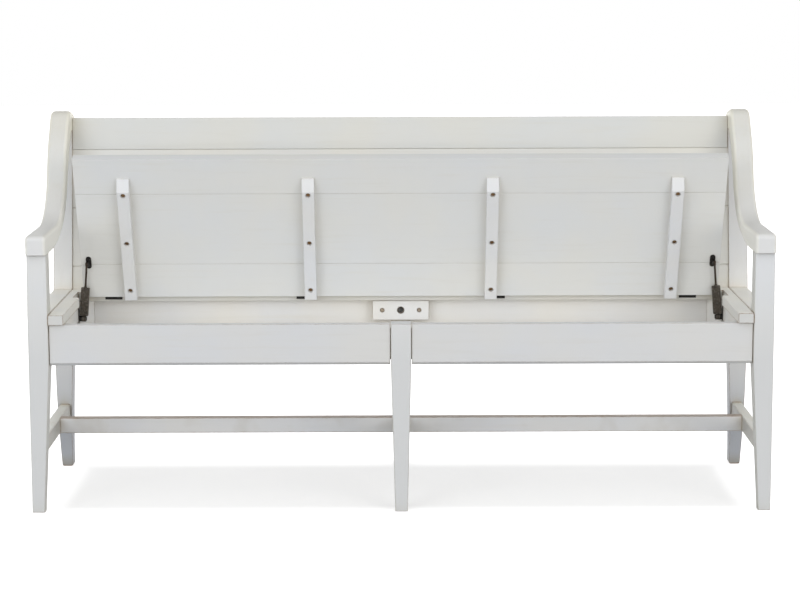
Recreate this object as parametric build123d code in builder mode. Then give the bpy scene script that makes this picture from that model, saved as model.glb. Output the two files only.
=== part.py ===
from build123d import *
import os
from math import cos, radians, sin, sqrt, tan

os.makedirs("parts", exist_ok=True)

# Overall sizes, in millimetres. X runs along the bench, the front faces -Y, the floor is Z = 0.
bench_width = 1737
bench_depth = 550
bench_height = 912
seat_height = 470
seat_thickness = 24
rear_reach = 122
sides = {"left": -1, "right": 1}

# Legs and posts
leg_width = 47.5
leg_depth = 47.5
leg_foot = 29.5
leg_neck = 1.2
leg_taper_drop = 4.5
arm_overhang = 12
post_depth_seat = 52
post_foot_width = 27
post_foot_depth = 41
post_kick_rise = 0.5
foot_ease = 3
recline = 10
head_height = 50
head_reach = 85.3
head_nose_run = 42
head_nose_round = 36
head_crown_run = 18
head_fall = 14
head_round = 12

# Arms
arm_rest_height = 141
arm_thickness = 46
arm_bend_share = 0.657
arm_steep_angle = 74
arm_back_angle = 62
arm_head_width = 64
arm_under_start = 85
arm_mid_angle = 20.6
arm_mid_thickness = 28.2
arm_neck_angle = 67.2
arm_neck_thickness = 33.8
arm_tip_round = 14
arm_round = 10
dowel_radius = 5
dowel_length = 44

# Aprons, rails and stretchers
apron_height = 96.5
apron_thickness = 22
apron_setback = 6
apron_chamfer = 6
side_rail_inset = 1.5
stretcher_top = 173
stretcher_height = 38
stretcher_thickness = 25
side_stretcher_inset = 19
long_stretcher_y = 12
bearer_height = 34.5
bearer_thickness = 22

# Joinery
shadow_gap = 1.5
tenon_length = 18
tenon_thickness = 10
tenon_shoulder = 12
joint_clearance = 0.15
shoulder_gap = 0.4
edge_ease = 1.5

# Back
panel_setback = 4
crest_drop = 19
crest_height = 80
crest_thickness = 26
crest_proud = 1.5
crest_end_gap = 0.7
back_rail_height = 57
back_rail_thickness = 22
board_count = 2
board_thickness = 16
board_housing = 8
board_gap = 0.4
groove_chamfer = 1.5
crest_seam_chamfer = 0.3
lid_seam_chamfer = 0.4

# Seat around the lid
strip_width = 35.7
strip_gap = 0.3
strip_overhang = 2
rear_board_reveal = 44
seat_gap = 2.5
ledger_width = 21
ledger_height = 50

# Storage well
floor_thickness = 6
cleat_size = 14
cleat_lift = 1
block_width = 140
block_height = 49
block_thickness = 25
block_drop = 3
corner_block_leg = 34
corner_block_lift = 8
bolt_radius = 4
bolt_head_radius = 7
bolt_head_height = 6
bolt_recess_radius = 9
bolt_recess_depth = 8
bolt_length = 50
block_screw_spacing = 92
block_screw_radius = 2.5
block_recess_radius = 5.5
block_recess_depth = 5
block_screw_head_radius = 3.8
block_screw_head_height = 2.5
block_screw_length = 38

# Lid
lid_overhang = 16.4
lid_gap = 0.8
lid_rest_gap = 0.5
lid_open_angle = 65
lid_edge_boards = 96
batten_width = 30
batten_thickness = 22
batten_front_room = 7
batten_inset = 4
batten_bevel = 28
batten_tip = 5
batten_count = 4
batten_end_room = 118
batten_screw_shares = (0.082, 0.429, 0.775)
screw_recess_radius = 6
screw_recess_depth = 7
screw_head_radius = 4.5
screw_head_height = 3
screw_shank_radius = 2
screw_shank_length = 24

# Hinges
hinge_count = 4
hinge_end_room = 70
hinge_length = 42.5
hinge_leaf_height = 21
hinge_leaf_thickness = 1.5
hinge_axis_room = 1.7
hinge_rise = 1
barrel_radius = 3
barrel_clearance = 0.4
pin_radius = 1.5
running_clearance = 0.05
knuckle_length = 14

# Lid stays
stay_foot_back = 3
stay_foot_drop = 43
stay_foot_room = 12.5
stay_head_room = 17
stay_notch_room = 1.5
stay_notch_start = 8
stay_notch_length = 90
stay_head_along = 102
stay_head_below = 11
stay_eye_radius = 7.5
stay_eye_width = 10
stay_collar_radius = 7
stay_body_width = 21
stay_body_depth = 12
stay_body_start = 12.5
stay_body_length = 78
stay_gland_length = 6
stay_gland_radius = 4.4
stay_bore_radius = 3.6
stay_rod_radius = 2.6
stay_rod_overlap = 4
stay_disc_radius = 5.5
stay_disc_width = 5.4
stud_radius = 2.5
stud_head_radius = 5
stud_head_width = 2
bracket_thickness = 1.5
bracket_width = 20
bracket_above = 42
bracket_below = 9
bracket_round = 4
pill_width = 13
pill_length = 33
pill_thickness = 2.5
pill_screw_spacing = 18
pill_screw_radius = 3.2
pill_screw_height = 1.6
ear_thickness = 2.2
ear_gap = 0.4

# Derived planes and levels
half_width = bench_width / 2
leg_inner = half_width - leg_width
side_stretcher_x = half_width - side_stretcher_inset
front = -bench_depth / 2
back = bench_depth / 2
leg_front = front + arm_overhang
leg_back = leg_front + leg_depth
apron_front = leg_front + apron_setback
apron_inner = apron_front + apron_thickness
board_bottom = seat_height - seat_thickness
apron_bottom = board_bottom - apron_height
leg_taper_top = apron_bottom - leg_taper_drop
post_front = back - rear_reach
back_front = post_front + panel_setback
rear_apron_back = post_front + apron_thickness
post_foot_kick = back - post_front - post_foot_depth
post_kick_top = apron_bottom + post_kick_rise
lean = tan(radians(recline))
head_bottom = bench_height - head_height
arm_underside = seat_height + arm_rest_height
arm_top = arm_underside + arm_thickness
arm_height = head_bottom - arm_underside
arm_bend_radius = arm_bend_share * arm_height
arm_rise = head_bottom - arm_top - arm_bend_radius * (1 - cos(radians(arm_steep_angle)))
arm_head_y = post_front + (head_bottom - seat_height) * lean - head_reach
head_crown_y = arm_head_y + head_nose_run + head_crown_run
arm_steep_y = arm_head_y - arm_rise / tan(radians(arm_back_angle))
arm_steep_z = head_bottom - arm_rise
arm_flat_end = arm_steep_y - arm_bend_radius * sin(radians(arm_steep_angle))
stretcher_bottom = stretcher_top - stretcher_height
strip_outer = leg_inner - strip_gap
strip_inner = strip_outer - strip_width
lid_half = strip_inner - seat_gap
ledger_inner = leg_inner - ledger_width
ledger_bottom = board_bottom - ledger_height
rear_board_front = back_front - rear_board_reveal
rear_board_back = back_front + back_rail_thickness / cos(radians(recline)) + joint_clearance
cleat_bottom = apron_bottom + cleat_lift
floor_bottom = cleat_bottom + cleat_size
floor_top = floor_bottom + floor_thickness
bearer_bottom = floor_bottom - bearer_height
block_top = board_bottom - block_drop
block_bottom = block_top - block_height
block_middle = (block_top + block_bottom) / 2
block_front = post_front - block_thickness
hinge_y = rear_board_front - hinge_axis_room
hinge_z = seat_height + hinge_rise
back_plane = Plane(
    origin=(0, back_front, seat_height),
    x_dir=(1, 0, 0),
    z_dir=(0, -cos(radians(recline)), sin(radians(recline))),
)
lid_plane = Plane(
    origin=(0, hinge_y, hinge_z),
    x_dir=(1, 0, 0),
    z_dir=(0, sin(radians(lid_open_angle)), cos(radians(lid_open_angle))),
)
lid_back = hinge_axis_room - lid_gap
lid_front = leg_front - lid_overhang - hinge_y
lid_depth = lid_back - lid_front
batten_length = hinge_y + lid_back - apron_inner - batten_front_room
batten_screw_places = [share * lid_depth for share in batten_screw_shares]
lid_top = -hinge_rise
lid_under = lid_top - seat_thickness + lid_rest_gap
crest_top = bench_height - crest_drop
crest_low = (crest_top - seat_height) / cos(radians(recline)) - crest_height
crest_high = crest_low + crest_height
hinge_places = [(lid_half - hinge_end_room) * (2 * i / (hinge_count - 1) - 1) for i in range(hinge_count)]
batten_places = [(lid_half - batten_end_room) * (2 * i / (batten_count - 1) - 1) for i in range(batten_count)]
stay_foot_x = ledger_inner - stay_foot_room
stay_head_x = strip_inner - stay_head_room


def keep(piece, name):
    """Labels a finished piece and writes it under its name."""
    piece.part.label = name
    export_step(piece.part, f"parts/{name}.step")


def block(low, high, mode=Mode.ADD):
    """Adds or cuts a box between two opposite corners, given in any order."""
    with Locations(tuple((a + b) / 2 for a, b in zip(low, high))):
        Box(*[abs(b - a) for a, b in zip(low, high)], mode=mode)


def mortise(low, high):
    """Cuts the room for a tenon that fills the box between two corners."""
    lower = [min(a, b) - joint_clearance for a, b in zip(low, high)]
    upper = [max(a, b) + joint_clearance for a, b in zip(low, high)]
    block(lower, upper, Mode.SUBTRACT)


def rod(start, direction, radius, length, mode=Mode.ADD):
    """Adds or cuts a round bar from a start point along a direction."""
    with Locations(Plane(origin=start, z_dir=direction).location):
        Cylinder(radius, length, align=(Align.CENTER, Align.CENTER, Align.MIN), mode=mode)


def ease(edges):
    """Softens sharp edges the way sanded paintwork is softened."""
    chamfer(edges, edge_ease)


def post_line(z):
    """Front face of the post above the seat."""
    return post_front + (z - seat_height) * lean


def kick(z):
    """How far the rear legs' front face swings back at a height below the seat."""
    drop = max(post_kick_top - z, 0)
    radius = ((post_kick_top - foot_ease) ** 2 + post_foot_kick**2) / (2 * post_foot_kick)
    return radius - sqrt(radius**2 - drop**2)


def leg_depth_at(z):
    """Depth of a front leg, which tapers towards the floor on its rear face."""
    return leg_foot + (leg_depth - leg_foot) * min(z / leg_taper_top, 1)


def apron_tenon(side, end_x, y_low):
    """Corners of an apron's tenon at the end that faces the given side."""
    y_middle = y_low + apron_thickness / 2
    low = (end_x, y_middle - tenon_thickness / 2, apron_bottom + tenon_shoulder)
    high = (end_x + side * tenon_length, y_middle + tenon_thickness / 2, board_bottom - tenon_shoulder)
    return low, high


def rail_tenon(x_middle, start_y, step, z_low, z_high):
    """Corners of a tenon on the end of a rail that runs from front to back."""
    low = (x_middle - tenon_thickness / 2, start_y, z_low + tenon_shoulder)
    high = (x_middle + tenon_thickness / 2, start_y + step * tenon_length, z_high - tenon_shoulder)
    return low, high


def stretcher_tenons(x_middle):
    """Tenons of a front-to-back stretcher, at its front and at its rear end."""
    middle = (stretcher_top + stretcher_bottom) / 2
    ahead = leg_front + leg_depth_at(middle)
    behind = post_front + kick(stretcher_top) - shoulder_gap
    return (
        rail_tenon(x_middle, ahead, -1, stretcher_bottom, stretcher_top),
        rail_tenon(x_middle, behind, 1, stretcher_bottom, stretcher_top),
    )


# Places where pieces meet
apron_tenons = {}
for side_name, side in sides.items():
    corner_end = side * leg_inner
    centre_end = side * leg_width / 2
    apron_tenons["front", side_name] = (
        apron_tenon(side, corner_end, apron_front),
        apron_tenon(-side, centre_end, apron_front),
    )
    apron_tenons["rear", side_name] = (
        apron_tenon(side, corner_end, post_front),
        apron_tenon(-side, centre_end, post_front),
    )
side_rail_middle = (leg_inner + half_width - side_rail_inset) / 2


def side_rail_tenons(side):
    """Tenons of a side rail in the front leg and in the post."""
    return (
        rail_tenon(side * side_rail_middle, leg_back, -1, apron_bottom, seat_height),
        rail_tenon(side * side_rail_middle, post_front, 1, apron_bottom, seat_height),
    )


def bearer_tenons():
    """Tenons of the floor bearer in the two middle legs."""
    return (
        rail_tenon(0, leg_back, -1, bearer_bottom - tenon_shoulder / 2, floor_bottom + tenon_shoulder / 2),
        rail_tenon(0, post_front, 1, bearer_bottom - tenon_shoulder / 2, floor_bottom + tenon_shoulder / 2),
    )


def block_screw_place(side):
    """Face of the leg block where the screw at one side goes in."""
    return (side * block_screw_spacing / 2, block_front, block_middle)


# Front legs: the outer and front faces are upright, the inner and rear faces taper to the foot
leg_dowel_y = leg_front + leg_depth / 2


def leg_section(x_low, x_high, depth, z):
    """One level of a front leg, with softened corners."""
    with BuildSketch(Plane.XY.offset(z)) as section:
        with Locations(((x_low + x_high) / 2, leg_front + depth / 2)):
            RectangleRounded(abs(x_high - x_low), depth, edge_ease * 2)
    return section.sketch


for side_name, side in sides.items():
    with BuildPart() as front_leg:
        levels = [
            leg_section(side * (half_width - leg_foot), side * half_width, leg_foot, 0),
            leg_section(side * leg_inner, side * half_width, leg_depth, leg_taper_top),
            leg_section(side * leg_inner, side * half_width, leg_depth, seat_height),
            leg_section(side * leg_inner, side * (half_width - leg_neck), leg_depth, arm_underside),
        ]
        loft(levels, ruled=True)
        mortise(*apron_tenons["front", side_name][0])
        mortise(*side_rail_tenons(side)[0])
        mortise(*stretcher_tenons(side * side_stretcher_x)[0])
        dowel_x = side * (leg_inner + leg_width / 2 - leg_neck / 2)
        rod((dowel_x, leg_dowel_y, arm_underside), (0, 0, -1), dowel_radius, dowel_length / 2, Mode.SUBTRACT)
    keep(front_leg, f"front_leg_{side_name}")

# Middle front leg: tapers on both sides and stops under the lid
with BuildPart() as front_leg_centre:
    levels = [
        leg_section(-leg_foot / 2, leg_foot / 2, leg_foot, 0),
        leg_section(-leg_width / 2, leg_width / 2, leg_depth, leg_taper_top),
        leg_section(-leg_width / 2, leg_width / 2, leg_depth, board_bottom),
    ]
    loft(levels, ruled=True)
    for side_name in sides:
        mortise(*apron_tenons["front", side_name][1])
    mortise(*stretcher_tenons(0)[0])
    mortise(*bearer_tenons()[0])
keep(front_leg_centre, "front_leg_centre")


def rear_leg_outline(top, front_top, back_top):
    """Side outline of a rear leg below the seat, between two points at its top."""
    foot_front = post_front + post_foot_kick
    foot_back = foot_front + post_foot_depth
    rear_face = post_front + post_depth_seat
    ankle_front = (foot_front, foot_ease)
    ankle_back = (foot_back, foot_ease)
    Line((front_top, top), (post_front, post_kick_top))
    TangentArc((post_front, post_kick_top), ankle_front, tangent=(0, -1))
    Polyline(ankle_front, (foot_front + foot_ease, 0), (foot_back - foot_ease, 0), ankle_back)
    TangentArc((rear_face, post_kick_top), ankle_back, tangent=(0, -1))
    Line((rear_face, post_kick_top), (back_top, top))


def upright_back(z):
    """Rear face of the upright, which thins a little towards the head."""
    return post_front + post_depth_seat + (z - seat_height) * (back - post_front - post_depth_seat) / (
        bench_height - seat_height
    )


def head_dowel(side):
    """Place of the dowel between the upright and the head."""
    y = (post_line(head_bottom) + upright_back(head_bottom)) / 2
    return (side * (leg_inner + leg_width / 2), y, head_bottom)


# Rear posts: a curved leg below the seat and a leaning upright above it
for side_name, side in sides.items():
    outer = side * half_width
    with BuildPart() as rear_post:
        with BuildSketch(Plane.YZ):
            with BuildLine():
                rear_leg_outline(seat_height, post_front, post_front + post_depth_seat)
                Polyline(
                    (post_front, seat_height),
                    (post_line(head_bottom), head_bottom),
                    (upright_back(head_bottom), head_bottom),
                    (post_front + post_depth_seat, seat_height),
                )
            make_face()
        extrude(amount=bench_width, both=True)
        with BuildSketch(Plane.XZ):
            with BuildLine():
                Polyline(
                    (outer, foot_ease),
                    (outer - side * foot_ease, 0),
                    (outer - side * (post_foot_width - foot_ease), 0),
                    (outer - side * post_foot_width, foot_ease),
                    (side * leg_inner, leg_taper_top),
                    (side * leg_inner, head_bottom),
                    (outer, head_bottom),
                    close=True,
                )
            make_face()
        extrude(amount=bench_depth, both=True, mode=Mode.INTERSECT)
        outer_face = rear_post.faces().sort_by(Axis.X)[0 if side < 0 else -1]
        ease(outer_face.edges().filter_by(Axis.Y, reverse=True))
        mortise(*apron_tenons["rear", side_name][0])
        mortise(*side_rail_tenons(side)[1])
        mortise(*stretcher_tenons(side * side_stretcher_x)[1])
        with BuildSketch(back_plane.offset(joint_clearance)):
            with Locations((side * leg_inner, (back_rail_height + crest_low) / 2)):
                Rectangle(2 * (board_housing + joint_clearance), crest_low - back_rail_height)
        extrude(amount=-board_thickness - 2 * joint_clearance, mode=Mode.SUBTRACT)
        with BuildSketch(back_plane.offset(crest_proud - crest_thickness / 2 + tenon_thickness / 2)):
            with Locations((side * leg_inner, (crest_low + crest_high) / 2)):
                Rectangle(2 * (tenon_length + joint_clearance), crest_height - 2 * tenon_shoulder)
        extrude(amount=-tenon_thickness, mode=Mode.SUBTRACT)
        with BuildSketch(back_plane.offset(tenon_thickness / 2 - back_rail_thickness / 2)):
            with Locations((side * leg_inner, back_rail_height / 2)):
                Rectangle(2 * (tenon_length + joint_clearance), back_rail_height - 2 * tenon_shoulder)
        extrude(amount=-tenon_thickness, mode=Mode.SUBTRACT)
        rod(head_dowel(side), (0, 0, -1), dowel_radius, dowel_length / 2, Mode.SUBTRACT)
    keep(rear_post, f"rear_post_{side_name}")

# Middle rear leg, under the rear seat board
with BuildPart() as rear_leg_centre:
    with BuildSketch(Plane.YZ):
        with BuildLine():
            rear_leg_outline(board_bottom, post_front, post_front + post_depth_seat)
            Line((post_front, board_bottom), (post_front + post_depth_seat, board_bottom))
        make_face()
    extrude(amount=bench_width, both=True)
    with BuildSketch(Plane.XZ):
        with BuildLine():
            Polyline(
                (-post_foot_width / 2, foot_ease),
                (-post_foot_width / 2 + foot_ease, 0),
                (post_foot_width / 2 - foot_ease, 0),
                (post_foot_width / 2, foot_ease),
                (leg_width / 2, leg_taper_top),
                (leg_width / 2, board_bottom),
                (-leg_width / 2, board_bottom),
                (-leg_width / 2, leg_taper_top),
                close=True,
            )
        make_face()
    extrude(amount=bench_depth, both=True, mode=Mode.INTERSECT)
    for side_name in sides:
        mortise(*apron_tenons["rear", side_name][1])
    mortise(*stretcher_tenons(0)[1])
    mortise(*bearer_tenons()[1])
    bolt_start = (0, block_front + bolt_recess_depth, block_middle)
    rod(bolt_start, (0, 1, 0), bolt_radius, bolt_length, Mode.SUBTRACT)
keep(rear_leg_centre, "rear_leg_centre")


def under_arm(angle, thickness):
    """Point below an arm's bend, at an angle along the bend and a thickness under it."""
    reach = arm_bend_radius + thickness
    y = arm_flat_end + reach * sin(radians(angle))
    return (y, arm_top + arm_bend_radius - reach * cos(radians(angle)))


def faces_up_or_forwards(face):
    """Whether a face of an arm is on its upper, outer side."""
    normal = face.normal_at()
    return normal.Z - normal.Y > 0.1 and abs(normal.X) < 0.5


# Arms: a swan-neck ribbon from the front leg up to the head, which closes the top of the post
for side_name, side in sides.items():
    arm_start = side * half_width if side < 0 else leg_inner
    with BuildPart() as arm:
        with BuildSketch(Plane.YZ.offset(arm_start)):
            with BuildLine():
                Polyline((arm_flat_end, arm_top), (front, arm_top), (front, arm_underside))
                Line((front, arm_underside), (front + arm_under_start, arm_underside))
                bend = TangentArc((arm_flat_end, arm_top), (arm_steep_y, arm_steep_z), tangent=(1, 0))
                TangentArc((arm_steep_y, arm_steep_z), (arm_head_y, head_bottom), tangent=bend % 1)
                Polyline(
                    (arm_head_y, head_bottom),
                    (arm_head_y + head_nose_run, bench_height),
                    (head_crown_y, bench_height),
                )
                TangentArc((head_crown_y, bench_height), (back, bench_height - head_fall), tangent=(1, 0))
                Polyline(
                    (back, bench_height - head_fall),
                    (upright_back(head_bottom), head_bottom),
                    (arm_head_y + arm_head_width, head_bottom),
                )
                arm_under_mid = under_arm(arm_mid_angle, arm_mid_thickness)
                arm_under_bend = under_arm(arm_neck_angle, arm_neck_thickness)
                rise = TangentArc((front + arm_under_start, arm_underside), arm_under_mid, tangent=(1, 0))
                neck = TangentArc(arm_under_mid, arm_under_bend, tangent=rise % 1)
                TangentArc(arm_under_bend, (arm_head_y + arm_head_width, head_bottom), tangent=neck % 1)
            make_face()
        extrude(amount=leg_width)
        cross_edges = arm.edges().filter_by(Axis.X)
        fillet(cross_edges.group_by(Axis.Y)[0].sort_by(Axis.Z)[-1], arm_tip_round)
        top_edges = arm.edges().filter_by(Axis.X).group_by(Axis.Z)[-1].sort_by(Axis.Y)
        fillet(top_edges[0], head_nose_round)
        fillet(arm.edges().filter_by(Axis.X).group_by(Axis.Y)[-1].sort_by(Axis.Z)[-1], head_round)
        upper_faces = arm.faces().filter_by(faces_up_or_forwards)
        fillet(upper_faces.edges().filter_by(Axis.X, reverse=True), arm_round)
        dowel_x = side * (leg_inner + leg_width / 2 - leg_neck / 2)
        rod((dowel_x, leg_dowel_y, arm_underside), (0, 0, 1), dowel_radius, dowel_length / 2, Mode.SUBTRACT)
        rod(head_dowel(side), (0, 0, 1), dowel_radius, dowel_length / 2, Mode.SUBTRACT)
        with BuildSketch(back_plane.offset(crest_proud - crest_thickness / 2 + tenon_thickness / 2)):
            with Locations((side * leg_inner, (crest_low + crest_high) / 2)):
                Rectangle(2 * (tenon_length + joint_clearance), crest_height - 2 * tenon_shoulder)
        extrude(amount=-tenon_thickness, mode=Mode.SUBTRACT)
    keep(arm, f"arm_{side_name}")

with BuildPart() as arm_dowels:
    for side in sides.values():
        dowel_x = side * (leg_inner + leg_width / 2 - leg_neck / 2)
        rod((dowel_x, leg_dowel_y, arm_underside - dowel_length / 2), (0, 0, 1), dowel_radius, dowel_length)
        head_x, head_y, head_z = head_dowel(side)
        rod((head_x, head_y, head_z - dowel_length / 2), (0, 0, 1), dowel_radius, dowel_length)
keep(arm_dowels, "arm_dowels")

# Aprons: planks with rounded front edges, a shadow gap at the front legs and tenons in the legs
for place, y_low, gap in (("front", apron_front, shadow_gap), ("rear", post_front, 0)):
    for side_name, side in sides.items():
        inner_end = side * (leg_width / 2 + gap)
        outer_end = side * (leg_inner - gap)
        with BuildPart() as apron:
            block((inner_end, y_low, apron_bottom), (outer_end, y_low + apron_thickness, board_bottom))
            face_edges = apron.faces().sort_by(Axis.Y)[0 if place == "front" else -1].edges()
            chamfer(face_edges.sort_by(Axis.Z)[0], apron_chamfer)
            corner_tenon, centre_tenon = apron_tenons[place, side_name]
            block((outer_end, *corner_tenon[0][1:]), corner_tenon[1])
            block((inner_end, *centre_tenon[0][1:]), centre_tenon[1])
            if place == "rear":
                rod(block_screw_place(side), (0, 1, 0), block_screw_radius, block_screw_length, Mode.SUBTRACT)
        keep(apron, f"{place}_apron_{side_name}")

# Side rails, flush with the seat
for side_name, side in sides.items():
    with BuildPart() as side_rail:
        block(
            (side * leg_inner, leg_back, apron_bottom),
            (side * (half_width - side_rail_inset), post_front, seat_height),
        )
        ease(side_rail.edges().filter_by(Axis.Y))
        for low, high in side_rail_tenons(side):
            block(low, high)
    keep(side_rail, f"side_rail_{side_name}")

# Floor bearer between the middle legs
with BuildPart() as floor_bearer:
    block((-bearer_thickness / 2, leg_back, bearer_bottom), (bearer_thickness / 2, post_front, floor_bottom))
    for low, high in bearer_tenons():
        block(low, high)
keep(floor_bearer, "floor_bearer")

# Stretchers from front to back, cut to the slope of the legs that they meet
cross_places = {"side_stretcher_left": -side_stretcher_x, "side_stretcher_right": side_stretcher_x}
cross_places["centre_stretcher"] = 0
long_tenon = stretcher_thickness / 2 - edge_ease
long_tenon_front = long_stretcher_y - tenon_thickness / 2
long_tenon_back = long_stretcher_y + tenon_thickness / 2
long_tenon_low = stretcher_bottom + tenon_shoulder
long_tenon_high = stretcher_top - tenon_shoulder
for name, x_middle in cross_places.items():
    with BuildPart() as cross_stretcher:
        with BuildSketch(Plane.YZ.offset(x_middle - stretcher_thickness / 2)):
            with BuildLine():
                Polyline(
                    (leg_front + leg_depth_at(stretcher_bottom), stretcher_bottom),
                    (leg_front + leg_depth_at(stretcher_top), stretcher_top),
                    (post_front + kick(stretcher_top) - shoulder_gap, stretcher_top),
                    (post_front + kick(stretcher_bottom) - shoulder_gap, stretcher_bottom),
                    close=True,
                )
            make_face()
        extrude(amount=stretcher_thickness)
        ease(cross_stretcher.edges().filter_by(Axis.Y))
        for low, high in stretcher_tenons(x_middle):
            block(low, high)
        for step in (-1, 1):
            if x_middle * step <= 0:
                face_x = x_middle + step * stretcher_thickness / 2
                mortise(
                    (face_x, long_tenon_front, long_tenon_low),
                    (face_x - step * long_tenon, long_tenon_back, long_tenon_high),
                )
    keep(cross_stretcher, name)

# Long stretchers between them
for side_name, side in sides.items():
    inner_end = side * stretcher_thickness / 2
    outer_end = side * (side_stretcher_x - stretcher_thickness / 2)
    y_front = long_stretcher_y - stretcher_thickness / 2
    y_back = long_stretcher_y + stretcher_thickness / 2
    with BuildPart() as long_stretcher:
        block((inner_end, y_front, stretcher_bottom), (outer_end, y_back, stretcher_top))
        ease(long_stretcher.edges().filter_by(Axis.X))
        block(
            (inner_end - side * long_tenon, long_tenon_front, long_tenon_low),
            (outer_end + side * long_tenon, long_tenon_back, long_tenon_high),
        )
    keep(long_stretcher, f"long_stretcher_{side_name}")

# Crest rail, leaning with the back
with BuildPart() as crest_rail:
    with BuildSketch(back_plane.offset(crest_proud)):
        with Locations((0, (crest_low + crest_high) / 2)):
            Rectangle(2 * (leg_inner - crest_end_gap), crest_height)
    extrude(amount=-crest_thickness)
    fillet(crest_rail.edges().filter_by(Axis.X).group_by(Axis.Z)[-2:], edge_ease)
    chamfer(crest_rail.edges().filter_by(Axis.X).group_by(Axis.Z)[:2], crest_seam_chamfer)
    with BuildSketch(back_plane.offset(crest_proud - crest_thickness / 2 + tenon_thickness / 2)):
        with Locations((0, (crest_low + crest_high) / 2)):
            tenon_height = crest_height - 2 * (tenon_shoulder + joint_clearance)
            Rectangle(2 * (leg_inner + tenon_length), tenon_height)
    extrude(amount=-tenon_thickness)
keep(crest_rail, "crest_rail")

# Bottom rail of the back, cut level where it stands on the seat
with BuildPart() as back_bottom_rail:
    with BuildSketch(back_plane):
        with Locations((0, back_rail_height / 2 - board_gap / 2)):
            Rectangle(2 * leg_inner, back_rail_height - board_gap)
    extrude(amount=-back_rail_thickness)
    chamfer(back_bottom_rail.edges().filter_by(Axis.X).group_by(Axis.Z)[-2:], groove_chamfer)
    block((-half_width, front, 0), (half_width, back, seat_height), Mode.SUBTRACT)
    with BuildSketch(back_plane.offset(tenon_thickness / 2 - back_rail_thickness / 2)):
        with Locations((0, back_rail_height / 2)):
            tenon_height = back_rail_height - 2 * (tenon_shoulder + joint_clearance)
            Rectangle(2 * (leg_inner + tenon_length), tenon_height)
    extrude(amount=-tenon_thickness)
keep(back_bottom_rail, "back_bottom_rail")

# Boards of the back, housed in the posts, with bevelled edges that make grooves between them
board_pitch = (crest_low - back_rail_height) / board_count
for i in range(board_count):
    with BuildPart() as back_board:
        with BuildSketch(back_plane):
            with Locations((0, back_rail_height + (i + 0.5) * board_pitch)):
                Rectangle(2 * (leg_inner + board_housing), board_pitch - board_gap)
        extrude(amount=-board_thickness)
        top_chamfer = groove_chamfer if i < board_count - 1 else crest_seam_chamfer
        chamfer(back_board.edges().filter_by(Axis.X).group_by(Axis.Z)[-2:], top_chamfer)
        chamfer(back_board.edges().filter_by(Axis.X).group_by(Axis.Z)[:2], groove_chamfer)
    keep(back_board, f"back_board_{i + 1}")

# Fixed strips of the seat at both ends, and the board behind the lid
for side_name, side in sides.items():
    with BuildPart() as end_strip:
        block(
            (side * strip_inner, leg_front - strip_overhang, board_bottom),
            (side * strip_outer, rear_board_back, seat_height),
        )
        fillet(end_strip.edges().filter_by(Axis.Y).group_by(Axis.Z)[-1], edge_ease * 2)
        notch_back = hinge_y - stay_notch_start
        block(
            (side * strip_inner, notch_back - stay_notch_length, board_bottom),
            (side * (stay_foot_x + stay_body_width / 2 + stay_notch_room), notch_back, seat_height),
            Mode.SUBTRACT,
        )
    keep(end_strip, f"seat_end_strip_{side_name}")

with BuildPart() as rear_seat_board:
    block((-strip_inner, rear_board_front, board_bottom), (strip_inner, rear_board_back, seat_height))
    for x in hinge_places:
        start = (x - hinge_length / 2 - barrel_clearance, hinge_y, hinge_z)
        length = hinge_length + 2 * barrel_clearance
        rod(start, (1, 0, 0), barrel_radius + barrel_clearance, length, Mode.SUBTRACT)
        mortise(
            (x - hinge_length / 2, rear_board_front, hinge_z - hinge_leaf_height),
            (x + hinge_length / 2, rear_board_front + hinge_leaf_thickness, hinge_z),
        )
keep(rear_seat_board, "rear_seat_board")

# Ledgers under the end strips
for side_name, side in sides.items():
    with BuildPart() as end_ledger:
        block(
            (side * ledger_inner, apron_inner, ledger_bottom),
            (side * leg_inner, post_front, board_bottom),
        )
    keep(end_ledger, f"end_ledger_{side_name}")

# Floor of the storage well, notched round the middle leg, and the cleats that carry it
for side_name, side in sides.items():
    with BuildPart() as storage_floor:
        block(
            (side * joint_clearance, apron_inner + joint_clearance, floor_bottom),
            (side * (leg_inner - joint_clearance), post_front - joint_clearance, floor_top),
        )
        block(
            (0, apron_inner, floor_bottom),
            (side * (leg_width / 2 + seat_gap), leg_back + seat_gap, floor_top),
            Mode.SUBTRACT,
        )
    keep(storage_floor, f"storage_floor_{side_name}")

with BuildPart() as floor_cleats:
    for side in sides.values():
        for y in (apron_inner, post_front - cleat_size):
            block(
                (side * (leg_width / 2 + seat_gap), y, cleat_bottom),
                (side * (leg_inner - seat_gap), y + cleat_size, floor_bottom),
            )
keep(floor_cleats, "floor_cleats")

# Block in front of the middle rear leg, with a bolt into the leg and a screw into each apron
with BuildPart() as leg_block:
    block((-block_width / 2, block_front, block_bottom), (block_width / 2, post_front, block_top))
    rod((0, block_front, block_middle), (0, 1, 0), bolt_recess_radius, bolt_recess_depth, Mode.SUBTRACT)
    rod((0, block_front, block_middle), (0, 1, 0), bolt_radius, bolt_length, Mode.SUBTRACT)
    for side in sides.values():
        rod(block_screw_place(side), (0, 1, 0), block_recess_radius, block_recess_depth, Mode.SUBTRACT)
        rod(block_screw_place(side), (0, 1, 0), block_screw_radius, block_screw_length, Mode.SUBTRACT)
keep(leg_block, "leg_block")

with BuildPart() as block_bolt:
    bolt_seat = block_front + bolt_recess_depth
    rod((0, bolt_seat, block_middle), (0, 1, 0), bolt_radius, bolt_length)
    with BuildSketch(Plane(origin=(0, bolt_seat - bolt_head_height, block_middle), z_dir=(0, 1, 0))):
        RegularPolygon(bolt_head_radius, 6)
    extrude(amount=bolt_head_height)
keep(block_bolt, "block_bolt")

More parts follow.
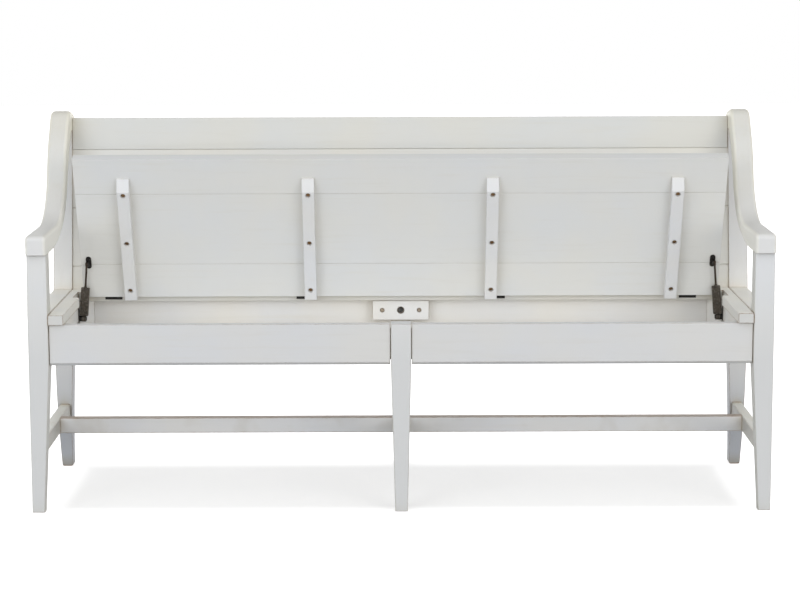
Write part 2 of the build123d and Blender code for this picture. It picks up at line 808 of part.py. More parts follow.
with BuildPart() as block_screws:
    for side in sides.values():
        x, y, z = block_screw_place(side)
        seat = (x, y + block_recess_depth, z)
        rod(seat, (0, -1, 0), block_screw_head_radius, block_screw_head_height)
        rod(seat, (0, 1, 0), block_screw_radius, block_screw_length - block_recess_depth)
keep(block_screws, "block_screws")

# Three-cornered blocks in the corners of the well
with BuildPart() as corner_blocks:
    with BuildSketch(Plane.XY.offset(floor_top + corner_block_lift)):
        for side in sides.values():
            for corner_y, step in ((apron_inner, 1), (post_front, -1)):
                with BuildLine():
                    Polyline(
                        (side * ledger_inner, corner_y),
                        (side * (ledger_inner - corner_block_leg), corner_y),
                        (side * ledger_inner, corner_y + step * corner_block_leg),
                        close=True,
                    )
                make_face()
    extrude(amount=block_top - floor_top - corner_block_lift)
keep(corner_blocks, "corner_blocks")

# Lid, drawn in the plane of the open lid: y is measured from the hinge axis and is negative forwards
lid_edges = (lid_front, lid_front + lid_edge_boards, lid_back - lid_edge_boards, lid_back)
batten_low = lid_under - batten_thickness
batten_back = lid_back - batten_inset
for i, name in enumerate(("lid_board_front", "lid_board_middle", "lid_board_rear")):
    with BuildPart(lid_plane) as lid_board:
        low_y = lid_edges[i] + (board_gap / 2 if i > 0 else 0)
        high_y = lid_edges[i + 1] - (board_gap / 2 if i < 2 else 0)
        block((-lid_half, low_y, lid_under), (lid_half, high_y, lid_top))
        chamfer(lid_board.edges().filter_by(Axis.X), lid_seam_chamfer)
        for x in batten_places:
            for place in batten_screw_places:
                start = (x, lid_back - place, batten_low + screw_recess_depth)
                rod(start, (0, 0, 1), screw_shank_radius, screw_shank_length, Mode.SUBTRACT)
        if i == 2:
            for x in hinge_places:
                start = (x - hinge_length / 2 - barrel_clearance, 0, 0)
                length = hinge_length + 2 * barrel_clearance
                rod(start, (1, 0, 0), barrel_radius + barrel_clearance, length, Mode.SUBTRACT)
                mortise(
                    (x - hinge_length / 2, lid_back - hinge_leaf_thickness, -hinge_leaf_height),
                    (x + hinge_length / 2, lid_back, 0),
                )
    keep(lid_board, name)

for i, x in enumerate(batten_places):
    side_view = Plane(
        origin=lid_plane.from_local_coords((x - batten_width / 2, 0, 0)),
        x_dir=lid_plane.y_dir,
        z_dir=(1, 0, 0),
    )
    with BuildPart(lid_plane) as lid_batten:
        with BuildSketch(side_view):
            with BuildLine():
                Polyline(
                    (batten_back, lid_under),
                    (batten_back, batten_low),
                    (lid_back - batten_length + batten_bevel, batten_low),
                    (lid_back - batten_length, lid_under - batten_tip),
                    (lid_back - batten_length, lid_under),
                    close=True,
                )
            make_face()
        extrude(amount=batten_width)
        for place in batten_screw_places:
            start = (x, lid_back - place, batten_low)
            rod(start, (0, 0, 1), screw_recess_radius, screw_recess_depth, Mode.SUBTRACT)
            rod(start, (0, 0, 1), screw_shank_radius, batten_thickness, Mode.SUBTRACT)
    keep(lid_batten, f"lid_batten_{i + 1}")

with BuildPart(lid_plane) as batten_screws:
    for x in batten_places:
        for place in batten_screw_places:
            start = (x, lid_back - place, batten_low + screw_recess_depth)
            rod(start, (0, 0, 1), screw_shank_radius, screw_shank_length)
            rod(start, (0, 0, -1), screw_head_radius, screw_head_height)
keep(batten_screws, "batten_screws")

# Hinges: the fixed leaf carries the two outer knuckles, the leaf on the lid the middle one
knuckle_half = knuckle_length / 2
knuckle_start = knuckle_half + barrel_clearance
barrel_room = barrel_radius + barrel_clearance
with BuildPart() as hinge_seat_leaves:
    for x in hinge_places:
        block(
            (x - hinge_length / 2, rear_board_front, hinge_z - hinge_leaf_height),
            (x + hinge_length / 2, rear_board_front + hinge_leaf_thickness, hinge_z),
        )
        middle = (x - knuckle_start, hinge_y, hinge_z)
        rod(middle, (1, 0, 0), barrel_room, 2 * knuckle_start, Mode.SUBTRACT)
        for step in (-1, 1):
            start = (x + step * knuckle_start, hinge_y, hinge_z)
            rod(start, (step, 0, 0), barrel_radius, hinge_length / 2 - knuckle_start)
            rod(start, (step, 0, 0), pin_radius, hinge_length / 2 - knuckle_start, Mode.SUBTRACT)
keep(hinge_seat_leaves, "hinge_seat_leaves")

with BuildPart(lid_plane) as hinge_lid_leaves:
    for x in hinge_places:
        block(
            (x - hinge_length / 2, lid_back - hinge_leaf_thickness, -hinge_leaf_height),
            (x + hinge_length / 2, lid_back, 0),
        )
        for step in (-1, 1):
            start = (x + step * knuckle_half, 0, 0)
            rod(start, (step, 0, 0), barrel_room, hinge_length / 2, Mode.SUBTRACT)
        start = (x - knuckle_half, 0, 0)
        rod(start, (1, 0, 0), barrel_radius, knuckle_length)
        rod(start, (1, 0, 0), pin_radius + running_clearance, knuckle_length, Mode.SUBTRACT)
keep(hinge_lid_leaves, "hinge_lid_leaves")

with BuildPart() as hinge_pins:
    for x in hinge_places:
        rod((x - hinge_length / 2, hinge_y, hinge_z), (1, 0, 0), pin_radius, hinge_length)
keep(hinge_pins, "hinge_pins")

# Lid stays: a telescopic strut at each end, from a stud on the ledger to an ear on the lid
foot_y = hinge_y - stay_foot_back
foot_z = board_bottom - stay_foot_drop
head_along = lid_back - stay_head_along
head_level = lid_under - stay_head_below
body_end = stay_body_start + stay_body_length
for side_name, side in sides.items():
    foot = Vector(side * stay_foot_x, foot_y, foot_z)
    head = lid_plane.from_local_coords(Vector(side * stay_head_x, head_along, head_level))
    stay_length = (head - foot).length
    along = (head - foot).normalized()
    across = Vector(1, 0, 0) - along * along.X
    eye_face = side * (stay_foot_x + stay_eye_width / 2)

    with BuildPart() as wall_bracket:
        block(
            (side * ledger_inner, foot_y - bracket_width / 2, foot_z - bracket_below),
            (side * (ledger_inner - bracket_thickness), foot_y + bracket_width / 2, foot_z + bracket_above),
        )
        fillet(wall_bracket.edges().filter_by(Axis.X), bracket_round)
        collar = ledger_inner - bracket_thickness - stay_foot_x - stay_eye_width / 2 - running_clearance
        stud_start = (side * (ledger_inner - bracket_thickness), foot_y, foot_z)
        rod(stud_start, (-side, 0, 0), stay_collar_radius, collar)
        stud_end = stay_foot_x - stay_eye_width / 2 - running_clearance - stud_head_width
        rod(stud_start, (-side, 0, 0), stud_radius, ledger_inner - bracket_thickness - stud_end)
        rod((side * stud_end, foot_y, foot_z), (side, 0, 0), stud_head_radius, stud_head_width)
    keep(wall_bracket, f"stay_wall_bracket_{side_name}")

    with BuildPart() as stay_body:
        rod((eye_face, foot_y, foot_z), (-side, 0, 0), stay_eye_radius, stay_eye_width)
        rod(foot, along, stay_rod_radius, stay_body_start + 1)
        with BuildSketch(Plane(foot + along * stay_body_start, x_dir=across, z_dir=along)):
            RectangleRounded(stay_body_width, stay_body_depth, edge_ease * 2)
        extrude(amount=stay_body_length)
        with Locations(Plane(foot + along * body_end, x_dir=across, z_dir=along).location):
            Cone(
                stay_gland_radius,
                stay_rod_radius + 1,
                stay_gland_length,
                align=(Align.CENTER, Align.CENTER, Align.MIN),
            )
        bore_start = stay_body_start + edge_ease
        rod(foot + along * bore_start, along, stay_bore_radius, body_end - bore_start, Mode.SUBTRACT)
        gland_bore = stay_rod_radius + running_clearance
        rod(foot + along * body_end, along, gland_bore, stay_gland_length, Mode.SUBTRACT)
        eye_bore = stud_radius + running_clearance
        rod((eye_face, foot_y, foot_z), (-side, 0, 0), eye_bore, stay_eye_width, Mode.SUBTRACT)
    keep(stay_body, f"stay_body_{side_name}")

    with BuildPart() as stay_rod:
        rod_start = body_end - stay_rod_overlap
        rod(foot + along * rod_start, along, stay_rod_radius, stay_length - rod_start)
        disc_start = head - Vector(side * stay_disc_width / 2, 0, 0)
        rod(disc_start, (side, 0, 0), stay_disc_radius, stay_disc_width)
    keep(stay_rod, f"stay_rod_{side_name}")

    ear_outer = stay_head_x - stay_disc_width / 2 - ear_gap
    ear_middle = side * (ear_outer - ear_thickness / 2)
    pill_x = ear_middle
    with BuildPart(lid_plane) as lid_bracket:
        with BuildSketch(lid_plane.offset(lid_under)):
            with Locations((pill_x, head_along)):
                SlotOverall(pill_length, pill_width, rotation=90)
        extrude(amount=-pill_thickness)
        block(
            (ear_middle - ear_thickness / 2, head_along - stay_disc_radius, lid_under),
            (ear_middle + ear_thickness / 2, head_along + stay_disc_radius, head_level),
        )
        ear_start = (ear_middle - ear_thickness / 2, head_along, head_level)
        rod(ear_start, (1, 0, 0), stay_disc_radius, ear_thickness)
        for step in (-1, 1):
            start = (pill_x, head_along + step * pill_screw_spacing / 2, lid_under)
            rod(start, (0, 0, -1), pill_screw_radius, pill_thickness + pill_screw_height)
    keep(lid_bracket, f"stay_lid_bracket_{side_name}")
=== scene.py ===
import bpy
from math import cos, radians, sin
from mathutils import Matrix, Vector


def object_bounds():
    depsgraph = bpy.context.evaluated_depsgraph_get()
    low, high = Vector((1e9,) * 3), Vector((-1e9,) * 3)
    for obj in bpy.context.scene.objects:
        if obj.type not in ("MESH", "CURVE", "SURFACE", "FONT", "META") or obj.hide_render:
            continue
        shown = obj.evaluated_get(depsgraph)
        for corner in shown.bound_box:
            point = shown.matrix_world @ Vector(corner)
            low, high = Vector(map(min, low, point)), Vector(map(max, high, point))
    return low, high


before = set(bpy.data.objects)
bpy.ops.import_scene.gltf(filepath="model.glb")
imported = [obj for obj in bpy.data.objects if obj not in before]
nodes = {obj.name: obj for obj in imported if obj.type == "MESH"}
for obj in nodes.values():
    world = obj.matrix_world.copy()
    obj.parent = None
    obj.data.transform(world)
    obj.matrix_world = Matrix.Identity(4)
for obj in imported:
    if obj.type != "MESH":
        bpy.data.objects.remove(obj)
cad_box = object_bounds()
scene = bpy.context.scene
scene.view_settings.view_transform = "Standard"

# Camera at the photograph's viewpoint, in metres and degrees
camera_place = (-0.0066, -5.581, 1.3102)
camera_yaw = 0.0487
camera_pitch = 8.627
camera_roll = -0.1795
camera_near = 0.1
camera_far = 100
focal_pixels = 2317.5
photo_width = 800
sensor_width = 36

# Light: the world is brightest in front and at the sides, and four broad soft lamps add shape
world_front = 1.36
world_back = 0.35
world_sides = 0.55
lamp_height = 1.7
lamp_distance = 5.2
lamp_spread = 3.2
lamp_aim = (0, 0, 0.45)
lamp_size = (2.6, 2.2)
left_power = 50
right_power = 49
cool_light = (0.95, 0.98, 1.0)
warm_light = (1.0, 0.985, 0.955)
white_light = (1, 1, 1)
overhead_place = (0, -0.6, 3.6)
overhead_aim = (0, 0, 0.4)
overhead_size = (4.0, 2.4)
overhead_power = 14
behind_place = (0, 4.6, 0.8)
behind_aim = (0, 0, 0.5)
behind_size = (3.6, 1.4)
behind_power = 42

# Floor: what it sends back to the bench, what is seen of it, and the glow that makes it white. The glow
# is weaker between the feet and weaker at the front than at the back, which paints shade there on top of
# the bench's own shadow. Its edges are shares of the half sizes.
floor_bounce = 0.4
floor_shown = 0.8
floor_reach = 14
floor_gap = 0.0005
glow_front = 0.37
glow_back = 0.48
painted_shade_ends = (0.90, 1.03)
painted_shade_depth = (0.75, 1.25)

# Paints, as linear colours: the same white, a little cooler or warmer and, as painted light and shade,
# lighter or darker from piece to piece
apron_paint = (0.655, 0.661, 0.668)
leg_paint = (0.715, 0.725, 0.732)
# Lower front legs: a darker paint, painted shade towards the floor
leg_foot_shaded_paint = (0.632, 0.642, 0.648)
arm_paint = (0.682, 0.680, 0.650)
arm_end_paint = (0.705, 0.711, 0.715)
crest_paint = (0.650, 0.652, 0.630)
panel_paint = (0.735, 0.730, 0.700)
post_paint = (0.780, 0.784, 0.788)
# Lower rear legs: a darker, bluer paint, painted shade under the seat
post_foot_shaded_paint = (0.505, 0.525, 0.560)
lid_paint = (0.758, 0.766, 0.760)
batten_paint = (0.755, 0.764, 0.778)
strip_paint = (0.735, 0.728, 0.698)
stretcher_paint = (0.712, 0.716, 0.725)
# Side stretchers: a darker, warmer paint, painted shade under the seat
side_stretcher_shaded_paint = (0.590, 0.578, 0.538)
# Inside of the well: cream, painted lighter as light on the well's walls
inside_lit_paint = (0.845, 0.838, 0.822)
bare_wood = (0.36, 0.235, 0.15, 1)
# Brown of dirt in the seams and along rubbed edges, also used as painted shade in tight corners and under
# overhangs
seam_dirt_and_shade = (0.27, 0.15, 0.065, 1)
seam_width = 0.006
# Warm wash in the corners, which also paints shade there
glaze_and_shade_tone = (0.80, 0.73, 0.60)
glaze_and_shade_reach = 0.04
smudge_tone = (0.80, 0.765, 0.69)
warm_tint = (1.005, 0.995, 0.97)
cool_tint = (0.975, 0.985, 1.005)
thin_tint = (0.95, 0.935, 0.90)
thin_share = 0.6

# Noises of the paint, each as scale, detail and roughness, and their stretch across and along the wood
even = (1.0, 1.0, 1.0)
grain_noise = (6.0, 6.0, 0.6)
grain_across = 14.0
grain_along = 0.9
brush_noise = (3.0, 3.0, 0.5)
brush_across = 120.0
brush_along = 3.0
cloud_noise = (5.0, 3.0, 0.5)
patch_noise = (38.0, 5.0, 0.65)
smear_noise = (7.0, 3.0, 0.6)

# Where each effect of the paint starts and where it is full
cloud_range = (0.35, 0.65)
grain_range = (0.54, 0.78)
smear_range = (0.52, 0.68)
top_range = (0.4, 0.9)
end_range = (0.6, 0.9)
side_range = (0.2, 0.8)
glaze_and_shade_range = (0.85, 0.45)
dirt_and_shade_range = (0.64, 0.30)
worn_range = (0.985, 0.88)
worn_patches = (0.42, 0.60)
line_range = (0.96, 0.84)
line_patches = (0.30, 0.55)
line_least = 0.4

# Gloss and relief of the paint
brush_range = (0.3, 0.7)
paint_rough = (0.48, 0.62)
paint_specular = 0.35
grain_relief = 0.6
brush_relief = 0.4
relief_strength = 0.10
relief_depth = 0.0012
normal_samples = 4

# Metal: noises as above, and the places where it is lighter, streaked or rubbed
fine_noise = (420.0, 4.0, 0.6)
spot_noise = (90.0, 4.0, 0.6)
streak_noise = (380.0, 3.0, 0.6)
streak_stretch = (1.0, 1.0, 0.06)
lighter_tint = (1.9, 1.7, 1.5)
spot_range = (0.35, 0.7)
spot_share = 0.5
streak_range = (0.5, 0.66)
metal_worn_patches = (0.45, 0.65)
metal_worn = 0.7
metal_edge = 0.0006
fine_range = (0.3, 0.7)
smoother = 0.06
rougher = 0.08
metal_relief = 0.12
metal_relief_depth = 0.0003
pale_steel = (0.30, 0.29, 0.27, 1)
pale_casing = (0.22, 0.20, 0.17, 1)
pale_bolt = (0.45, 0.44, 0.42, 1)
pale_bronze = (0.45, 0.36, 0.26, 1)
pale_zinc = (0.75, 0.72, 0.66, 1)


def photo_camera():
    """Places the camera where the photograph was taken from."""
    yaw = radians(camera_yaw)
    pitch = radians(camera_pitch)
    roll = radians(camera_roll)
    ahead = Vector((sin(yaw) * cos(pitch), cos(yaw) * cos(pitch), -sin(pitch)))
    level = Vector((cos(yaw), -sin(yaw), 0))
    upright = level.cross(ahead)
    right = level * cos(roll) + upright * sin(roll)
    up = upright * cos(roll) - level * sin(roll)
    data = bpy.data.cameras.new("photo_camera")
    data.sensor_fit = "HORIZONTAL"
    data.sensor_width = sensor_width
    data.lens = sensor_width * focal_pixels / photo_width
    data.clip_start = camera_near
    data.clip_end = camera_far
    camera = bpy.data.objects.new("photo_camera", data)
    turn = Matrix((right, up, -ahead)).transposed().to_4x4()
    camera.matrix_world = Matrix.Translation(camera_place) @ turn
    scene.collection.objects.link(camera)
    scene.camera = camera


# Node helpers
def new_material(name):
    material = bpy.data.materials.new(name)
    material.use_nodes = True
    tree = material.node_tree
    tree.nodes.clear()
    out = tree.nodes.new("ShaderNodeOutputMaterial")
    return material, tree, out


def plug(tree, socket, value):
    """Links a socket to another one, or sets its value."""
    if isinstance(value, bpy.types.NodeSocket):
        tree.links.new(value, socket)
    else:
        socket.default_value = value


def add(tree, kind, inputs=None, **settings):
    """Adds a node with its settings and inputs."""
    node = tree.nodes.new(kind)
    for key, value in settings.items():
        setattr(node, key, value)
    for key, value in (inputs or {}).items():
        plug(tree, node.inputs[key], value)
    return node


def noise(tree, spread, character):
    """Noise in the object's own coordinates, stretched by spread."""
    place = add(tree, "ShaderNodeTexCoord").outputs["Object"]
    vector = add(tree, "ShaderNodeMapping", {"Vector": place, "Scale": spread}).outputs["Vector"]
    scale, detail, roughness = character
    inputs = {"Vector": vector, "Scale": scale, "Detail": detail, "Roughness": roughness}
    return add(tree, "ShaderNodeTexNoise", inputs).outputs["Fac"]


def ramp(tree, value, low, high, to_low=0.0, to_high=1.0):
    """Carries a value from one range to another, and holds it at the ends."""
    inputs = {"Value": value, "From Min": low, "From Max": high, "To Min": to_low, "To Max": to_high}
    return add(tree, "ShaderNodeMapRange", inputs, clamp=True).outputs["Result"]


def maths(tree, operation, a, b=0.0):
    return add(tree, "ShaderNodeMath", {0: a, 1: b}, operation=operation).outputs[0]


def blend(tree, factor, a, b):
    """Mixes two colours, from a where the factor is 0 to b where it is 1."""
    inputs = {0: factor, 6: a, 7: b}
    return add(tree, "ShaderNodeMix", inputs, data_type="RGBA").outputs[2]


def rounded(tree, radius):
    """A normal with rounded edges, and how far it agrees with the flat one, from 1 down."""
    normal = add(tree, "ShaderNodeBevel", {"Radius": radius}, samples=normal_samples).outputs["Normal"]
    flat = add(tree, "ShaderNodeNewGeometry").outputs["Normal"]
    agreement = add(tree, "ShaderNodeVectorMath", {0: flat, 1: normal}, operation="DOT_PRODUCT")
    return normal, agreement.outputs["Value"]


def tinted(colour, red, green, blue):
    return (colour[0] * red, colour[1] * green, colour[2] * blue, 1)


def facing(tree, axis):
    """1 where the surface faces along an axis of the object, 0 where it is square to it."""
    normal = add(tree, "ShaderNodeTexCoord").outputs["Normal"]
    return add(tree, "ShaderNodeSeparateXYZ", {0: normal}).outputs["xyz".index(axis)]


def toned(tree, factor, shade, tone):
    """Multiplies a shade by a tone where the factor is 1."""
    product = add(tree, "ShaderNodeVectorMath", {0: shade, 1: tone}, operation="MULTIPLY")
    return blend(tree, factor, shade, product.outputs["Vector"])


def openness(tree, distance):
    """1 on an open surface, down to 0 deep in a corner or seam."""
    inputs = {"Distance": distance}
    return add(tree, "ShaderNodeAmbientOcclusion", inputs, samples=normal_samples).outputs["AO"]


def stretched(axis, across, along):
    """A stretch that is the same across an axis and another along it."""
    spread = [across, across, across]
    spread["xyz".index(axis)] = along
    return spread


# Painted wood: thin brushed paint with the grain showing through, rubbed edges, dirt in the seams and
# painted light and shade. rub is how far the edges are worn through, line a thin brown line along them,
# soft their radius, dirt the brown of dirt in the seams with painted shade in tight corners, glaze a warm
# wash with painted shade in the corners, smudge large thin patches, top, end and side the painted light
# and shade of upper faces, end grain and faces towards the ends of the bench, and foot the paint lower
# down, lighter or darker as painted light and shade, which fades out between two heights.
def painted_wood(
    name, colour, along, rub=0.4, line=0.3, soft=0.003, dirt_and_shade=0.7, glaze_and_shade=0.3, smudge=0.0,
    top=None, end=None, side=None, foot=None, rise=None
):
    material, tree, out = new_material(name)
    grain = noise(tree, stretched(along, grain_across, grain_along), grain_noise)
    brush = noise(tree, stretched(along, brush_across, brush_along), brush_noise)
    cloud = noise(tree, even, cloud_noise)
    patch = noise(tree, even, patch_noise)

    warm = tinted(colour, *warm_tint)
    cool = tinted(colour, *cool_tint)
    thin = tinted(colour, *thin_tint)
    shade = blend(tree, ramp(tree, cloud, *cloud_range), cool, warm)
    shade = blend(tree, ramp(tree, grain, *grain_range, 0, thin_share), shade, thin)
    # The paint lower down, lighter or darker than the rest: painted light and shade fading out between two
    # heights
    if foot:
        place = add(tree, "ShaderNodeTexCoord").outputs["Object"]
        height = add(tree, "ShaderNodeSeparateXYZ", {0: place}).outputs["Z"]
        shade = blend(tree, ramp(tree, height, *rise, 1, 0), shade, (*foot, 1))
    if smudge:
        smear = noise(tree, even, smear_noise)
        shade = toned(tree, ramp(tree, smear, *smear_range, 0, smudge), shade, smudge_tone)
    # Painted light and shade: upper faces, ends along the grain and faces towards the ends of the bench get
    # tones of their own
    if top:
        shade = toned(tree, ramp(tree, facing(tree, "z"), *top_range), shade, top)
    if end:
        ends = maths(tree, "ABSOLUTE", facing(tree, along))
        shade = toned(tree, ramp(tree, ends, *end_range), shade, end)
    if side:
        sides = maths(tree, "ABSOLUTE", facing(tree, "x"))
        shade = toned(tree, ramp(tree, sides, *side_range), shade, side)
    # A warm wash and painted shade near corners, by how open the surface is
    corner = ramp(tree, openness(tree, glaze_and_shade_reach), *glaze_and_shade_range, 0, glaze_and_shade)
    shade = toned(tree, corner, shade, glaze_and_shade_tone)

    round_edge, turned = rounded(tree, soft)
    rubbed = ramp(tree, patch, *worn_patches, 0, rub)
    worn = maths(tree, "MULTIPLY", ramp(tree, turned, *worn_range), rubbed)
    shade = blend(tree, worn, shade, bare_wood)
    if line:
        broken = ramp(tree, patch, *line_patches, line_least, 1)
        bare_line = maths(tree, "MULTIPLY", ramp(tree, turned, *line_range), broken)
        shade = blend(tree, maths(tree, "MULTIPLY", bare_line, line), shade, seam_dirt_and_shade)
    # Brown dirt in the seams, which also paints shade into tight corners and under overhangs
    if dirt_and_shade:
        seam = ramp(tree, openness(tree, seam_width), *dirt_and_shade_range, 0, dirt_and_shade)
        shade = blend(tree, seam, shade, seam_dirt_and_shade)

    grain_height = maths(tree, "MULTIPLY", grain, grain_relief)
    brush_height = maths(tree, "MULTIPLY", brush, brush_relief)
    relief = {
        "Strength": relief_strength,
        "Distance": relief_depth,
        "Height": maths(tree, "ADD", grain_height, brush_height),
        "Normal": round_edge,
    }
    surface = {
        "Base Color": shade,
        "Roughness": ramp(tree, brush, *brush_range, *paint_rough),
        "Normal": add(tree, "ShaderNodeBump", relief).outputs["Normal"],
        "Specular IOR Level": paint_specular,
    }
    shader = add(tree, "ShaderNodeBsdfPrincipled", surface)
    tree.links.new(shader.outputs["BSDF"], out.inputs["Surface"])
    return material


# Coated or bare metal: patchy colour, pale rubbed edges and, along the stay bodies, drawn streaks
def coated_metal(name, colour, metal, rough, pale, streak=0.0):
    material, tree, out = new_material(name)
    fine = noise(tree, even, fine_noise)
    spots = noise(tree, even, spot_noise)
    round_edge, turned = rounded(tree, metal_edge)
    lighter = tinted(colour, *lighter_tint)
    shade = blend(tree, ramp(tree, spots, *spot_range, 0, spot_share), (*colour, 1), lighter)
    if streak:
        drawn = noise(tree, streak_stretch, streak_noise)
        shade = blend(tree, ramp(tree, drawn, *streak_range, 0, streak), shade, pale)
    rubbed = ramp(tree, spots, *metal_worn_patches, 0, metal_worn)
    worn = maths(tree, "MULTIPLY", ramp(tree, turned, *worn_range), rubbed)
    shade = blend(tree, worn, shade, pale)
    relief = {
        "Strength": metal_relief,
        "Distance": metal_relief_depth,
        "Height": fine,
        "Normal": round_edge,
    }
    surface = {
        "Base Color": shade,
        "Metallic": metal,
        "Roughness": ramp(tree, fine, *fine_range, rough - smoother, rough + rougher),
        "Normal": add(tree, "ShaderNodeBump", relief).outputs["Normal"],
    }
    shader = add(tree, "ShaderNodeBsdfPrincipled", surface)
    tree.links.new(shader.outputs["BSDF"], out.inputs["Surface"])
    return material


def lamp(name, place, aim, size, power, colour):
    data = bpy.data.lights.new(name, "AREA")
    data.shape = "RECTANGLE"
    data.size, data.size_y = size
    data.energy = power
    data.color = colour
    obj = bpy.data.objects.new(name, data)
    obj.location = place
    obj.rotation_euler = (Vector(aim) - Vector(place)).to_track_quat("-Z", "Y").to_euler()
    scene.collection.objects.link(obj)


def see_white(tree):
    """1 for the rays that see the surroundings, 0 for the rays that light the object."""
    path = add(tree, "ShaderNodeLightPath")
    seen = maths(tree, "MAXIMUM", path.outputs["Is Camera Ray"], path.outputs["Is Glossy Ray"])
    return maths(tree, "MAXIMUM", seen, path.outputs["Is Transmission Ray"])


def studio_world():
    world = bpy.data.worlds.new("studio")
    scene.world = world
    world.use_nodes = True
    tree = world.node_tree
    tree.nodes.clear()
    out = tree.nodes.new("ShaderNodeOutputWorld")
    way = add(tree, "ShaderNodeTexCoord").outputs["Generated"]
    across, deep, _ = add(tree, "ShaderNodeSeparateXYZ", {0: way}).outputs
    front = ramp(tree, deep, 0, -1, 0, world_front)
    behind = ramp(tree, deep, 0, 1, 0, world_back)
    beside = maths(tree, "MULTIPLY", maths(tree, "ABSOLUTE", across), world_sides)
    level = maths(tree, "ADD", maths(tree, "ADD", front, behind), beside)
    strength = ramp(tree, see_white(tree), 0, 1, level, 1.0)
    light = add(tree, "ShaderNodeBackground", {"Color": (1, 1, 1, 1), "Strength": strength})
    tree.links.new(light.outputs[0], out.inputs["Surface"])


def studio_lamps():
    left = (-lamp_spread, -lamp_distance, lamp_height)
    right = (lamp_spread, -lamp_distance, lamp_height)
    lamp("front_left", left, lamp_aim, lamp_size, left_power, cool_light)
    lamp("front_right", right, lamp_aim, lamp_size, right_power, warm_light)
    lamp("overhead", overhead_place, overhead_aim, overhead_size, overhead_power, white_light)
    lamp("behind", behind_place, behind_aim, behind_size, behind_power, white_light)


def studio_floor():
    material, tree, out = new_material("pale_floor")
    bounce = add(tree, "ShaderNodeBsdfDiffuse", {"Color": (floor_bounce, floor_bounce, floor_bounce, 1)})
    shown = add(tree, "ShaderNodeBsdfDiffuse", {"Color": (floor_shown, floor_shown, floor_shown, 1)})
    place = add(tree, "ShaderNodeTexCoord").outputs["Object"]
    across, deep, _ = add(tree, "ShaderNodeSeparateXYZ", {0: place}).outputs
    # Painted shade: the glow is weaker inside a soft box between the feet, and weaker at the front than at
    # the back
    aside = maths(tree, "DIVIDE", maths(tree, "ABSOLUTE", across), cad_box[1][0])
    ahead = maths(tree, "DIVIDE", maths(tree, "ABSOLUTE", deep), cad_box[1][1])
    away = maths(tree, "MAXIMUM", ramp(tree, aside, *painted_shade_ends), ramp(tree, ahead, *painted_shade_depth))
    near = ramp(tree, deep, cad_box[0][1], cad_box[1][1], glow_front, glow_back)
    strength = ramp(tree, away, 0, 1, near, 1.0)
    glow = add(tree, "ShaderNodeEmission", {"Color": (1, 1, 1, 1), "Strength": strength})
    both = add(tree, "ShaderNodeAddShader", {0: shown.outputs[0], 1: glow.outputs[0]})
    parts = {0: see_white(tree), 1: bounce.outputs[0], 2: both.outputs[0]}
    mixed = add(tree, "ShaderNodeMixShader", parts)
    tree.links.new(mixed.outputs[0], out.inputs["Surface"])
    mesh = bpy.data.meshes.new("floor")
    corners = [(x * floor_reach, y * floor_reach, 0) for x, y in ((-1, -1), (1, -1), (1, 1), (-1, 1))]
    mesh.from_pydata(corners, [], [(0, 1, 2, 3)])
    mesh.materials.append(material)
    floor = bpy.data.objects.new("floor", mesh)
    floor.location.z = cad_box[0][2] - floor_gap
    scene.collection.objects.link(floor)


def dress(material, *starts):
    """Gives a material to every node whose name starts with one of the words."""
    for name, obj in nodes.items():
        if name.startswith(starts):
            obj.data.materials.clear()
            obj.data.materials.append(material)


photo_camera()
studio_world()
studio_lamps()
studio_floor()

# Front
apron_wood = painted_wood("apron_paint", apron_paint, "x", rub=0.45, line=0.35)
dress(apron_wood, "front_apron")
# Legs: faces towards the ends of the bench painted darker as shade, and darker lower down as painted shade
leg_wood = painted_wood(
    "leg_paint", leg_paint, "z", rub=0.2, side=(0.95, 0.935, 0.88), foot=leg_foot_shaded_paint, rise=(0.36, 0.58)
)
dress(leg_wood, "front_leg")
# Arms: upper faces painted darker as shade, faces towards the ends of the bench painted lighter as light,
# and the lower front end painted lighter and cooler
arm_wood = painted_wood(
    "arm_paint", arm_paint, "y", rub=0.3, top=(0.90, 0.89, 0.86), side=(1.24, 1.22, 1.14),
    foot=arm_end_paint, rise=(0.68, 0.74)
)
dress(arm_wood, "arm_")

# Back
# Crest rail and boards: a stronger warm wash with painted shade in the corners by the posts
crest_wood = painted_wood(
    "crest_paint", crest_paint, "x", rub=0.1, line=0.0, soft=0.0015, dirt_and_shade=0.0, glaze_and_shade=0.5
)
dress(crest_wood, "crest_rail")
panel_wood = painted_wood(
    "panel_paint", panel_paint, "x", rub=0.1, line=0.0, soft=0.0015, dirt_and_shade=0.0, glaze_and_shade=0.5
)
dress(panel_wood, "back_", "rear_seat_board")
# Posts: strong seam dirt and wash with painted shade in the corners, and the lower rear legs painted darker
# as shade under the seat
post_wood = painted_wood(
    "post_paint", post_paint, "z", rub=0.25, line=1.0, dirt_and_shade=0.95, glaze_and_shade=0.8,
    foot=post_foot_shaded_paint, rise=(0.14, 0.27)
)
dress(post_wood, "rear_post", "rear_leg")

# Seat, lid and well
# Lid: upper faces painted darker as shade, and the corner wash paints soft shade beside the battens
lid_wood = painted_wood(
    "lid_paint", lid_paint, "x", rub=0.2, line=0.05, soft=0.0012, dirt_and_shade=0.0, top=(0.8, 0.8, 0.8)
)
dress(lid_wood, "lid_board")
batten_wood = painted_wood("batten_paint", batten_paint, "z", rub=0.15, line=0.1, dirt_and_shade=0.1)
dress(batten_wood, "lid_batten")
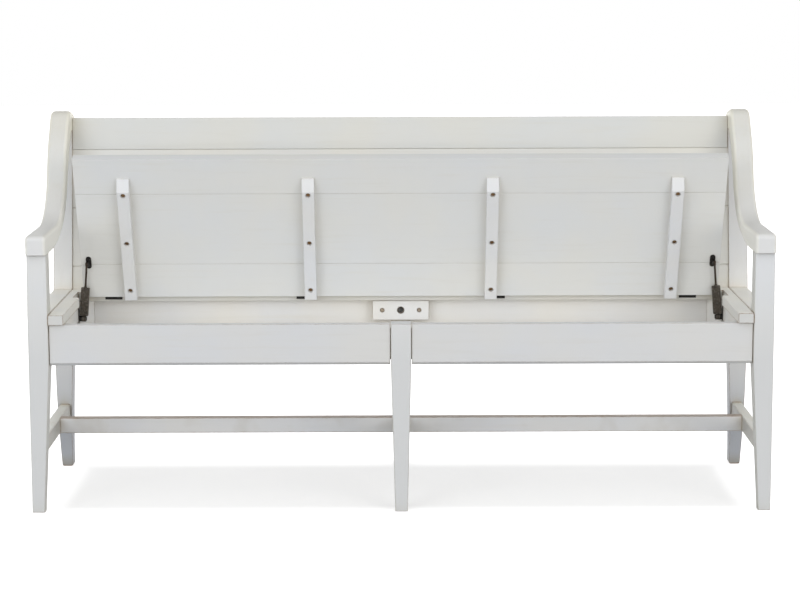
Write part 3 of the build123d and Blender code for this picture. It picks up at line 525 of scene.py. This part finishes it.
# Strips and rails: upper faces painted lighter as light, and front ends painted darker as shade
strip_wood = painted_wood(
    "strip_paint", strip_paint, "y", rub=0.3, line=1.0, soft=0.0045, dirt_and_shade=0.9,
    top=(1.14, 1.14, 1.13), end=(0.845, 0.86, 0.885)
)
dress(strip_wood, "seat_end_strip", "side_rail")
# Inside of the well: a paint made lighter as painted light
inside_wood = painted_wood("inside_lit_paint", inside_lit_paint, "x", rub=0.25)
dress(inside_wood, "rear_apron", "leg_block", "corner_blocks", "storage_floor", "floor_cleats", "end_ledger")

# Stretchers
# Long stretchers: upper faces painted a darker warm brown as shade, and a strong wash with painted shade by
# the joints
stretcher_wood = painted_wood(
    "stretcher_paint", stretcher_paint, "x", rub=1.0, line=0.9, glaze_and_shade=0.9, smudge=0.5,
    top=(0.62, 0.51, 0.42)
)
dress(stretcher_wood, "long_stretcher")
# Side stretchers: a darker paint as shade under the seat, with upper faces painted lighter as light
cross_wood = painted_wood(
    "side_stretcher_shaded_paint", side_stretcher_shaded_paint, "y", rub=0.5, line=0.5, glaze_and_shade=0.8, smudge=0.4,
    top=(1.48, 1.50, 1.50)
)
dress(cross_wood, "side_stretcher", "centre_stretcher", "floor_bearer")

# Metal
hardware = coated_metal("black_hardware", (0.020, 0.019, 0.018), 0.5, 0.42, pale_steel)
dress(hardware, "hinge_", "stay_wall", "stay_lid")
casing = coated_metal("stay_casing", (0.060, 0.052, 0.042), 0.3, 0.5, pale_casing, streak=0.6)
dress(casing, "stay_body")
stay_steel = coated_metal("stay_rod", (0.040, 0.030, 0.022), 0.6, 0.35, pale_steel)
dress(stay_steel, "stay_rod")
bolt_steel = coated_metal("bolt_steel", (0.050, 0.050, 0.050), 0.6, 0.4, pale_bolt, streak=0.4)
dress(bolt_steel, "block_bolt")
bronze = coated_metal("bronze_screw", (0.16, 0.10, 0.055), 0.8, 0.42, pale_bronze)
dress(bronze, "batten_screws")
zinc = coated_metal("pale_screw", (0.36, 0.31, 0.25), 0.6, 0.45, pale_zinc)
dress(zinc, "block_screws")
